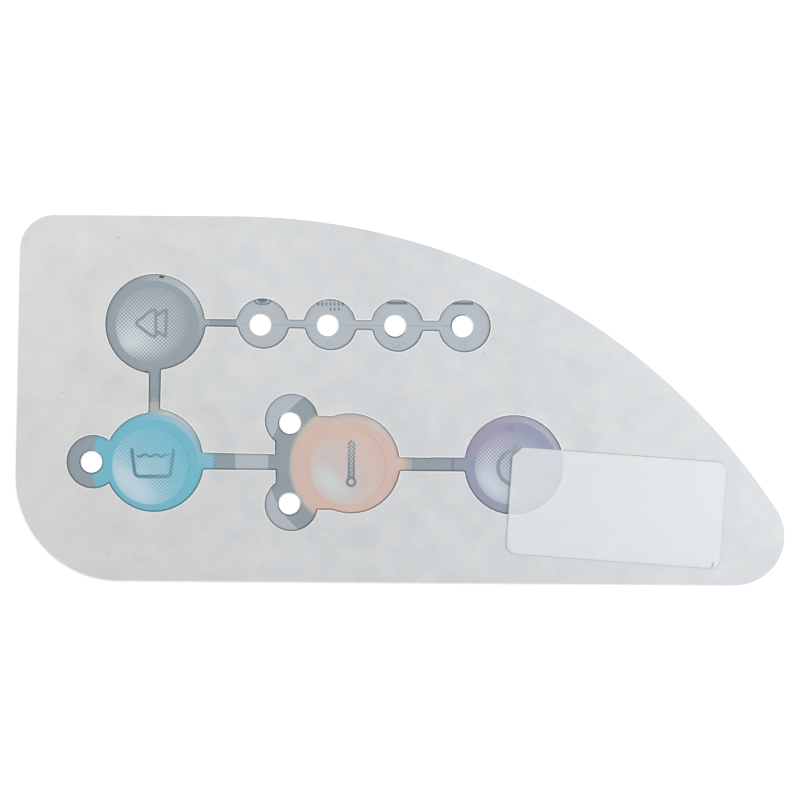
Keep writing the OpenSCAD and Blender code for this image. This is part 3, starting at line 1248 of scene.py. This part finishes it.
# Each speck: its pixel, its width and height in pixels, and whether it lies on the liner or in a window
SPECKS = [
    (118, 237, 1.5, 1.5, True),
    (484, 352, 1.2, 1.2, True),
    (108, 552, 1.3, 1.3, True),
    (245, 556, 1.2, 1.2, True),
    (62, 392, 1.2, 1.2, True),
    (188, 471, 1.1, 1.1, False),
    # The last two are dark blobs on the cut edges of two windows
    (160.9, 276.3, 5.2, 3.2, False),
    (145.6, 371.2, 4.2, 1.6, False),
]


def specks():
    """Specks of dirt on the liner and in a window, and two dark blobs on the windows' edges."""
    draw = random.Random(SPECK_SEED)
    on_liner = []
    in_window = []
    for column, row, wide, high, liner in SPECKS:
        middle = from_photo(column, row)
        outline = []
        for i in range(SPECK_SIDES):
            reach = PIXEL / 2 * draw.uniform(*SPECK_REACH)
            turn = direction(360 / SPECK_SIDES * i)
            outline.append(middle + Vector((turn.x * wide, turn.y * high)) * reach)
        carrier, level = (on_liner, liner_top) if liner else (in_window, ink_top)
        carrier.append(patch(outline, level - SUNK, level + SUNK))
    add_piece("liner_specks", on_liner, plain_ink("speck", SPECK_GREY))
    add_piece("window_specks", in_window, plain_ink("dark_speck", SPECK_DARK))


specks()

# Stage, light and camera

# The floor, whose glow only the camera sees
FLOOR_SIDE = 6
FLOOR_DROP = 0.05 * MM
FLOOR_WHITE = 0.9
FLOOR_GLOW = 0.4
SKY_LEVEL = 0.35
LAMP_SIDE = 0.25
# Each soft lamp: its place in metres and its power in watts
LAMPS = {
    "right_lamp": (Vector((0.249, 0.042, 0.16)), 0.78),
    "left_lamp": (Vector((-0.243, 0.132, 0.16)), 0.56),
}
CAMERA_HEIGHT = 0.6
SENSOR_MM = 36


def seen_directly(paint):
    """1 where a ray comes from the camera or by way of gloss or clear film, else 0."""
    seen = 0.0
    for name in ("Is Camera Ray", "Is Glossy Ray", "Is Transmission Ray"):
        seen = paint.math("MAXIMUM", seen, paint.node("LightPath", {}, name))
    return seen


def add_floor():
    """A white floor that keeps the sheet's shadow and looks white to the camera."""
    mesh = bpy.data.meshes.new("floor")
    half = FLOOR_SIDE / 2
    z = cad_box[0].z - FLOOR_DROP
    corners = [(-half, -half, z), (half, -half, z), (half, half, z), (-half, half, z)]
    mesh.from_pydata(corners, [], [(0, 1, 2, 3)])
    paint = Paint("floor_white")
    matt = paint.node("BsdfDiffuse", {"Color": (FLOOR_WHITE, FLOOR_WHITE, FLOOR_WHITE, 1)})
    strength = paint.times(seen_directly(paint), FLOOR_GLOW)
    glow = paint.node("Emission", {"Color": (1, 1, 1, 1), "Strength": strength})
    mesh.materials.append(paint.done(paint.node("AddShader", {0: matt, 1: glow})))
    add_object("floor", mesh)


def add_sky():
    """Even light from all round, white where the camera sees it."""
    sky = Paint("studio", world=True)
    strength = sky.math("MULTIPLY_ADD", seen_directly(sky), 1 - SKY_LEVEL, SKY_LEVEL)
    background = sky.node("Background", {"Color": (1, 1, 1, 1), "Strength": strength})
    bpy.context.scene.world = sky.done(background)


def add_lamps():
    """Soft lamps on both sides, as for copying a page, with the right one the stronger."""
    for name, (place, power) in LAMPS.items():
        light = bpy.data.lights.new(name, "AREA")
        light.energy = power
        light.size = LAMP_SIDE
        lamp = add_object(name, light)
        lamp.location = place
        lamp.rotation_mode = "QUATERNION"
        lamp.rotation_quaternion = (-place).to_track_quat("-Z", "Y")


def add_camera():
    """A camera straight above, with the photograph's scale and turn."""
    data = bpy.data.cameras.new("camera")
    data.sensor_width = SENSOR_MM
    data.lens = SENSOR_MM * CAMERA_HEIGHT / (PHOTO_SIDE * PIXEL)
    camera = add_object("camera", data)
    middle = from_photo((PHOTO_SIDE - 1) / 2, (PHOTO_SIDE - 1) / 2)
    camera.location = (middle.x, middle.y, liner_top + CAMERA_HEIGHT)
    camera.rotation_euler = (0, 0, PHOTO_TURN)
    bpy.context.scene.camera = camera


add_floor()
add_sky()
add_lamps()
add_camera()
bpy.context.scene.view_settings.view_transform = "Standard"
